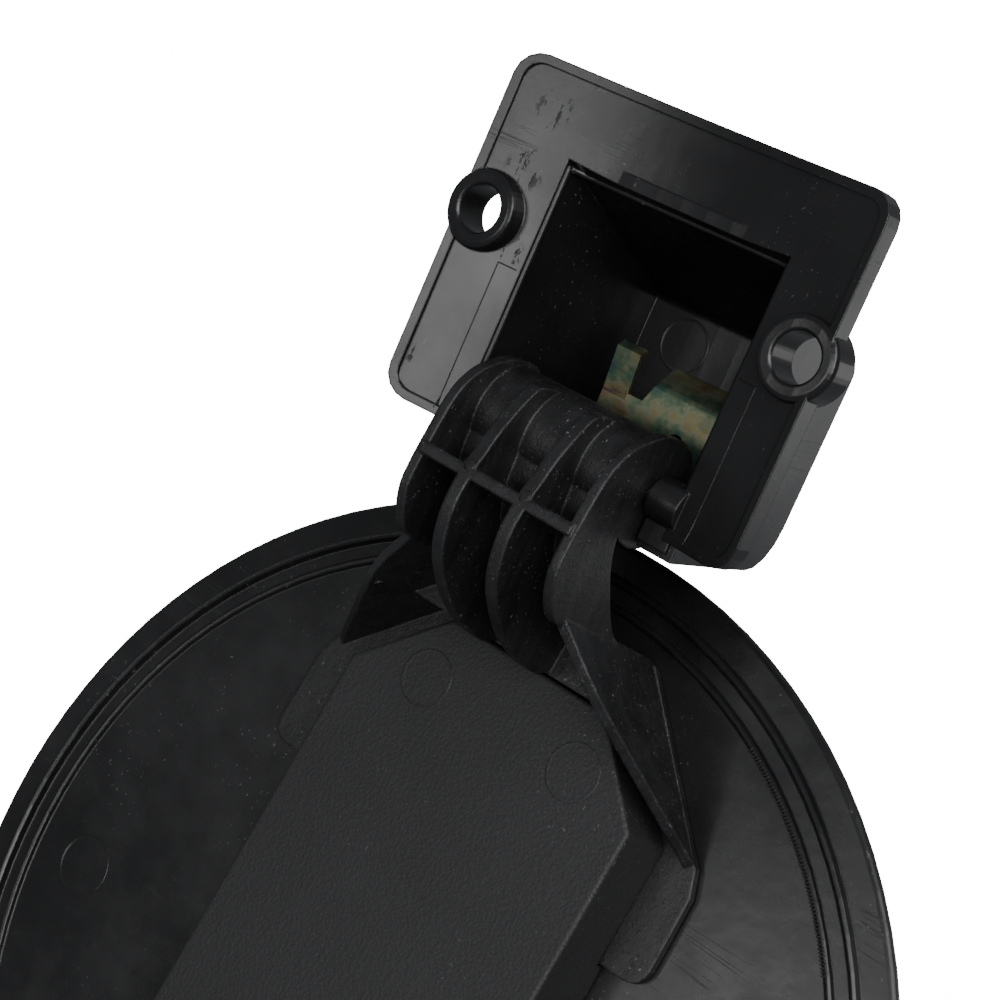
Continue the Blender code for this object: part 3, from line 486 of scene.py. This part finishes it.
class FlapMarks(bpy.types.PropertyGroup):
    pad_mark_radius: FloatProperty(
        name="Pad mark radius", description="Radius of the ejector marks on the pad",
        subtype="DISTANCE", unit="LENGTH", default=4.3 * MM,
    )
    disc_mark_radius: FloatProperty(
        name="Disc mark radius", description="Radius of the ejector marks on the disc",
        subtype="DISTANCE", unit="LENGTH", default=4.95 * MM,
    )
    pocket_mark_radius: FloatProperty(
        name="Pocket mark radius", description="Radius of the ejector mark in the pocket",
        subtype="DISTANCE", unit="LENGTH", default=4.2 * MM,
    )
    rib_mark_radius: FloatProperty(
        name="Rib mark radius", description="Radius of the small marks on the arm",
        subtype="DISTANCE", unit="LENGTH", default=0.85 * MM,
    )
    rib_offset: FloatProperty(
        name="Rib offset", description="Distance of each middle rib from the arm's middle",
        subtype="DISTANCE", unit="LENGTH", default=4.95 * MM,
    )
    mark_rise: FloatProperty(
        name="Mark rise", description="How far an ejector mark stands off its face",
        subtype="DISTANCE", unit="LENGTH", default=0.06 * MM,
    )
    seam_width: FloatProperty(
        name="Seam width", description="Width of a mould seam",
        subtype="DISTANCE", unit="LENGTH", default=0.2 * MM,
    )
    mouth_bead_width: FloatProperty(
        name="Mouth bead width", description="Width of the rounded edge round the housing's mouth",
        subtype="DISTANCE", unit="LENGTH", default=1.1 * MM,
    )
    ridge_ticks: IntProperty(
        name="Ridge ticks", description="Cutter ticks along the disc's inner ridge",
        default=64, min=2, max=200,
    )


class FlapStudio(bpy.types.PropertyGroup):
    lens: FloatProperty(
        name="Lens", description="Focal length on a 36 mm sensor",
        subtype="DISTANCE_CAMERA", default=77.90283,
    )
    floor_drop: FloatProperty(
        name="Floor drop", description="Depth of the floor under the part",
        subtype="DISTANCE", unit="LENGTH", default=0.9,
    )
    floor_glow: FloatProperty(
        name="Floor glow", description="How brightly the white floor and sky glow behind the part",
        default=16.0, min=0.0,
    )
    panel_power: FloatProperty(
        name="Panel power", description="Power of the main soft panel",
        unit="POWER", default=7.2,
    )
    sky: FloatProperty(
        name="Sky", description="Strength of the even light from all round",
        default=0.2, min=0.0,
    )


class FLAP_OT_finishes(bpy.types.Operator):
    """Gives each CAD part its moulded or metal finish"""

    bl_idname = "flap.finishes"
    bl_label = "Finishes"

    def execute(self, context):
        colours = context.scene.flap_colours
        for node, material in (
            ("flap_disc", disc_finish(colours)),
            ("hinge_housing", plate_finish(colours)),
            ("hinge_arm", arm_finish(colours)),
            ("cover_pad", pad_finish(colours)),
            ("spring_clip", clip_finish(colours)),
            ("hinge_pin", pin_finish()),
        ):
            for slot in NODES[node].material_slots:
                slot.material = material
        return {"FINISHED"}


# Mould marks


def ejector_mark(name, node, start, way, radius, rise, body):
    """A round witness mark: a low pad on the face with its middle sunk and its edge rounded."""
    spot, normal = surface(node, start, way)
    bury = 0.3 * MM
    rim = radius * 0.05
    slope = radius * 0.02
    sunk = rise * 0.8
    start_fresh()
    bpy.ops.mesh.primitive_cylinder_add(
        vertices=72,
        radius=radius,
        depth=rise + bury,
        location=spot + normal * (rise - bury) / 2,
        rotation=normal.to_track_quat("Z", "Y").to_euler(),
    )
    bpy.ops.object.mode_set(mode="EDIT")
    bpy.ops.mesh.select_mode(type="FACE")
    pick_faces(lambda face: face.normal.z > 0.9)
    bpy.ops.mesh.inset(thickness=rim)
    bpy.ops.mesh.inset(thickness=slope)
    bpy.ops.transform.translate(value=-normal * sunk)
    bpy.ops.object.mode_set(mode="OBJECT")
    piece = bpy.context.object
    edge = piece.modifiers.new("rounded_rim", "BEVEL")
    edge.width = rise * 0.4
    edge.segments = 2
    edge.angle_limit = math.radians(60)
    bpy.ops.object.modifier_apply(modifier=edge.name)
    finish_piece(name, body, NODES[node].material_slots[0].material, smooth=4.0)


def seam(name, node, starts, way, width, body, sink=0.0):
    """A thin round seam that follows a node's face under a row of points, sunk into it by a depth."""
    spots = [surface(node, start, way)[0] + way * sink for start in starts]
    along = (spots[1] - spots[0]).normalized()
    start_fresh()
    bpy.ops.mesh.primitive_circle_add(
        vertices=12,
        radius=width / 2,
        fill_type="NGON",
        location=spots[0],
        rotation=along.to_track_quat("Z", "Y").to_euler(),
    )
    bpy.ops.object.mode_set(mode="EDIT")
    bpy.ops.mesh.select_mode(type="FACE")
    bpy.ops.mesh.select_all(action="SELECT")
    for before, after in zip(spots, spots[1:]):
        bpy.ops.mesh.extrude_region_move(
            TRANSFORM_OT_translate={"value": after - before, "orient_type": "GLOBAL"}
        )
    bpy.ops.mesh.select_all(action="SELECT")
    bpy.ops.mesh.normals_make_consistent(inside=False)
    bpy.ops.object.mode_set(mode="OBJECT")
    return finish_piece(name, body, NODES[node].material_slots[0].material, smooth=60.0)


class FLAP_OT_pad_marks(bpy.types.Operator):
    """Adds the two ejector marks on the cover pad"""

    bl_idname = "flap.pad_marks"
    bl_label = "Pad ejector marks"

    def execute(self, context):
        marks = context.scene.flap_marks
        for name, along in PAD_MARKS_ALONG:
            ejector_mark(
                name, "cover_pad", flap_point(PAD_MARKS_UP, 0.0, along), -FLAP_OUT,
                marks.pad_mark_radius, marks.mark_rise, "flap",
            )
        return {"FINISHED"}


class FLAP_OT_disc_marks(bpy.types.Operator):
    """Adds the two ejector marks on the disc's inner face"""

    bl_idname = "flap.disc_marks"
    bl_label = "Disc ejector marks"

    def execute(self, context):
        marks = context.scene.flap_marks
        for name, degrees in DISC_MARKS_TURN:
            ejector_mark(
                name, "flap_disc", disc_point(DISC_MARKS_FROM_MIDDLE, degrees), -FLAP_OUT,
                marks.disc_mark_radius, marks.mark_rise, "flap",
            )
        return {"FINISHED"}


class FLAP_OT_pocket_mark(bpy.types.Operator):
    """Adds the ejector mark on the pocket's back wall"""

    bl_idname = "flap.pocket_mark"
    bl_label = "Pocket ejector mark"

    def execute(self, context):
        marks = context.scene.flap_marks
        ejector_mark(
            "pocket_mark", "hinge_housing", plate_point(*POCKET_MARK, 0.0), INTO_PLATE,
            marks.pocket_mark_radius, marks.mark_rise, "housing",
        )
        return {"FINISHED"}


class FLAP_OT_arm_marks(bpy.types.Operator):
    """Adds the small round marks where the ribs cross the bar, and the nub on the left flare"""

    bl_idname = "flap.arm_marks"
    bl_label = "Arm marks"

    def execute(self, context):
        marks = context.scene.flap_marks
        rib_rise = marks.mark_rise * 2
        nub_rise = marks.mark_rise * 5
        for name, side in (("rib_mark_left", -1), ("rib_mark_right", 1)):
            start = flap_point(RIB_MARKS_UP, LOOK_FROM, side * marks.rib_offset / MM)
            ejector_mark(
                name, "hinge_arm", start, -FLAP_OUT,
                marks.rib_mark_radius, rib_rise, "flap",
            )
        start = flap_point(*FLARE_NUB) + FLARE_INWARD * NUB_CLEAR * MM
        ejector_mark(
            "flare_nub", "hinge_arm", start, -FLARE_INWARD,
            marks.rib_mark_radius, nub_rise, "flap",
        )
        return {"FINISHED"}


class FLAP_OT_plate_seams(bpy.types.Operator):
    """Adds the insert seams on the hinge plate, beside the mouth"""

    bl_idname = "flap.plate_seams"
    bl_label = "Plate seams"

    def execute(self, context):
        width = context.scene.flap_marks.seam_width
        for name, side in (("plate_seam_left", -1), ("plate_seam_right", 1)):
            rise = [plate_point(side * SEAM_ASIDE, up) for up in evenly(SEAM_FOOT, SEAM_TOP, 12)]
            seam(name, "hinge_housing", rise, INTO_PLATE, width, "housing")
            inward = evenly(SEAM_ASIDE, SEAM_ASIDE - SEAM_TURN_IN, 4)
            turn_in = [plate_point(side * aside, SEAM_TOP) for aside in inward]
            seam(name + "_top", "hinge_housing", turn_in, INTO_PLATE, width, "housing")
        return {"FINISHED"}


def round_end(piece, spot, width):
    """A ball in the finish of a bead, where it meets the next one at a corner."""
    start_fresh()
    bpy.ops.mesh.primitive_uv_sphere_add(segments=16, ring_count=10, radius=width / 2, location=spot)
    bpy.ops.object.transform_apply(location=True, rotation=True, scale=True)
    bpy.ops.object.shade_smooth()
    bpy.context.object.data.materials.append(piece.data.materials[0])
    piece.select_set(True)
    bpy.context.view_layer.objects.active = piece
    bpy.ops.object.join()


class FLAP_OT_mouth_beads(bpy.types.Operator):
    """Adds the rounded edge along the sides and the top of the housing's mouth"""

    bl_idname = "flap.mouth_beads"
    bl_label = "Mouth beads"

    def execute(self, context):
        width = context.scene.flap_marks.mouth_bead_width
        sink = width * BEAD_SUNK_SHARE
        for name, side in (("mouth_bead_left", -1), ("mouth_bead_right", 1)):
            rise = [plate_point(side * MOUTH_HALF_WIDTH, up) for up in evenly(MOUTH_FOOT, MOUTH_TOP, 4)]
            seam(name, "hinge_housing", rise, INTO_PLATE, width, "housing", sink)
        sides = evenly(-MOUTH_HALF_WIDTH, MOUTH_HALF_WIDTH, 24)
        across = [plate_point(aside, MOUTH_TOP) for aside in sides]
        bead = seam(
            "mouth_bead_top", "hinge_housing", across, INTO_PLATE, width, "housing", sink
        )
        for corner in (across[0], across[-1]):
            spot, _ = surface("hinge_housing", corner, INTO_PLATE)
            round_end(bead, spot + INTO_PLATE * sink, width)
        return {"FINISHED"}


class FLAP_OT_ridge_ticks(bpy.types.Operator):
    """Adds the fine cutter ticks along the disc's inner ridge"""

    bl_idname = "flap.ridge_ticks"
    bl_label = "Ridge ticks"

    def execute(self, context):
        start_fresh()
        ticks = []
        for number in range(context.scene.flap_marks.ridge_ticks):
            start = disc_point(RIDGE_RADIUS, FIRST_TICK - TICK_STEP * number)
            spot, _ = surface("flap_disc", start, -FLAP_OUT)
            outward = (spot - DISC_CENTRE) - FLAP_OUT * (spot - DISC_CENTRE).dot(FLAP_OUT)
            outward.normalize()
            around = FLAP_OUT.cross(outward)
            rows = Matrix((around, outward, FLAP_OUT)).transposed()
            bpy.ops.mesh.primitive_cylinder_add(
                vertices=6, radius=TICK_RADIUS * MM, depth=TICK_LENGTH * MM, location=spot,
                rotation=(rows @ Matrix.Rotation(math.radians(90), 3, "X")).to_euler(),
            )
            ticks.append(bpy.context.object)
        for tick in ticks:
            tick.select_set(True)
        bpy.context.view_layer.objects.active = ticks[0]
        bpy.ops.object.join()
        finish_piece("ridge_ticks", "flap", NODES["flap_disc"].material_slots[0].material)
        return {"FINISHED"}


# Studio


def soft_panel(name, place, size, power):
    """A soft rectangular light, its second size measured as near as it can be along world Z."""
    bpy.ops.object.light_add(type="AREA", location=place)
    lamp = bpy.context.object
    lamp.name = name
    lamp.data.shape = "RECTANGLE"
    lamp.data.size, lamp.data.size_y = size
    lamp.data.energy = power
    back = (Vector(place) - Vector(PANELS_AIM)).normalized()
    wide = PIN_WAY.cross(back).normalized()
    lamp.rotation_euler = Matrix((wide, back.cross(wide), back)).transposed().to_euler()


def studio_camera(studio):
    """The photograph's viewpoint, found from the plate's and disc's known sizes."""
    data = bpy.data.cameras.new("studio_camera")
    camera = bpy.data.objects.new("studio_camera", data)
    bpy.context.scene.collection.objects.link(camera)
    data.sensor_width = 36.0
    data.lens = studio.lens
    data.clip_start = 0.01
    data.clip_end = 50.0
    turn = Matrix((CAMERA_RIGHT, CAMERA_UP, CAMERA_BACK)).transposed().to_4x4()
    camera.matrix_world = Matrix.Translation(CAMERA_PLACE) @ turn
    bpy.context.scene.camera = camera


def studio_sky(context, studio):
    """Faint even light from all round, which the camera sees as white."""
    world = bpy.data.worlds.new("studio_world")
    context.scene.world = world
    world.use_nodes = True
    sky = world.node_tree.nodes["Background"]
    sky.inputs["Color"].default_value = (0.93, 0.96, 1.0, 1.0)
    links = world.node_tree.links
    seen = world.node_tree.nodes.new("ShaderNodeLightPath").outputs["Is Camera Ray"]
    glow = world.node_tree.nodes.new("ShaderNodeMath")
    glow.operation = "MULTIPLY_ADD"
    links.new(seen, glow.inputs[0])
    glow.inputs[1].default_value = studio.floor_glow
    glow.inputs[2].default_value = studio.sky
    links.new(glow.outputs["Value"], sky.inputs["Strength"])


def studio_floor(studio):
    """A white floor well under the part, wide enough to have no edge in view."""
    start_fresh()
    bpy.ops.mesh.primitive_plane_add(size=24.0, location=(0.0, 0.0, -studio.floor_drop))
    floor = bpy.context.object
    floor.name = "studio_floor"
    paint = Finish("floor_white")
    mottle = paint.noise(3.0, 2.0)
    paint.colour(mottle, (0.0, (0.93, 0.93, 0.93)), (1.0, (0.97, 0.97, 0.97)))
    floor.data.materials.append(
        paint.set(Roughness=0.9, Emission_Color=(1, 1, 1, 1), Emission_Strength=studio.floor_glow)
    )
    floor.visible_glossy = False
    floor.visible_diffuse = False


class FLAP_OT_studio(bpy.types.Operator):
    """Sets up the white floor, the soft panels and the camera"""

    bl_idname = "flap.studio"
    bl_label = "Studio"

    def execute(self, context):
        studio = context.scene.flap_studio
        studio_sky(context, studio)
        for name, place, size, share in PANELS:
            soft_panel(name, place, size, studio.panel_power * share)
        studio_floor(studio)
        studio_camera(studio)
        return {"FINISHED"}


# Panel and start

STEPS = (
    "finishes",
    "pad_marks",
    "disc_marks",
    "pocket_mark",
    "arm_marks",
    "plate_seams",
    "mouth_beads",
    "ridge_ticks",
    "studio",
)


class FLAP_PT_panel(bpy.types.Panel):
    """Lists the flap's finishes, marks and studio"""

    bl_idname = "FLAP_PT_panel"
    bl_label = "Filler Flap"
    bl_space_type = "VIEW_3D"
    bl_region_type = "UI"
    bl_category = "Filler Flap"

    def draw(self, context):
        layout = self.layout
        scene = context.scene
        for group in (scene.flap_colours, scene.flap_marks, scene.flap_studio):
            box = layout.box()
            for key in group.__annotations__:
                box.prop(group, key)
        for step in STEPS:
            layout.operator("flap." + step)


CLASSES = (
    FlapColours,
    FlapMarks,
    FlapStudio,
    FLAP_OT_finishes,
    FLAP_OT_pad_marks,
    FLAP_OT_disc_marks,
    FLAP_OT_pocket_mark,
    FLAP_OT_arm_marks,
    FLAP_OT_plate_seams,
    FLAP_OT_mouth_beads,
    FLAP_OT_ridge_ticks,
    FLAP_OT_studio,
    FLAP_PT_panel,
)


def register():
    for item in CLASSES:
        bpy.utils.register_class(item)
    bpy.types.Scene.flap_colours = PointerProperty(type=FlapColours)
    bpy.types.Scene.flap_marks = PointerProperty(type=FlapMarks)
    bpy.types.Scene.flap_studio = PointerProperty(type=FlapStudio)


def unregister():
    del bpy.types.Scene.flap_studio
    del bpy.types.Scene.flap_marks
    del bpy.types.Scene.flap_colours
    for item in reversed(CLASSES):
        bpy.utils.unregister_class(item)


def main():
    register()
    for step in STEPS:
        getattr(bpy.ops.flap, step)()


if __name__ == "__main__":
    main()
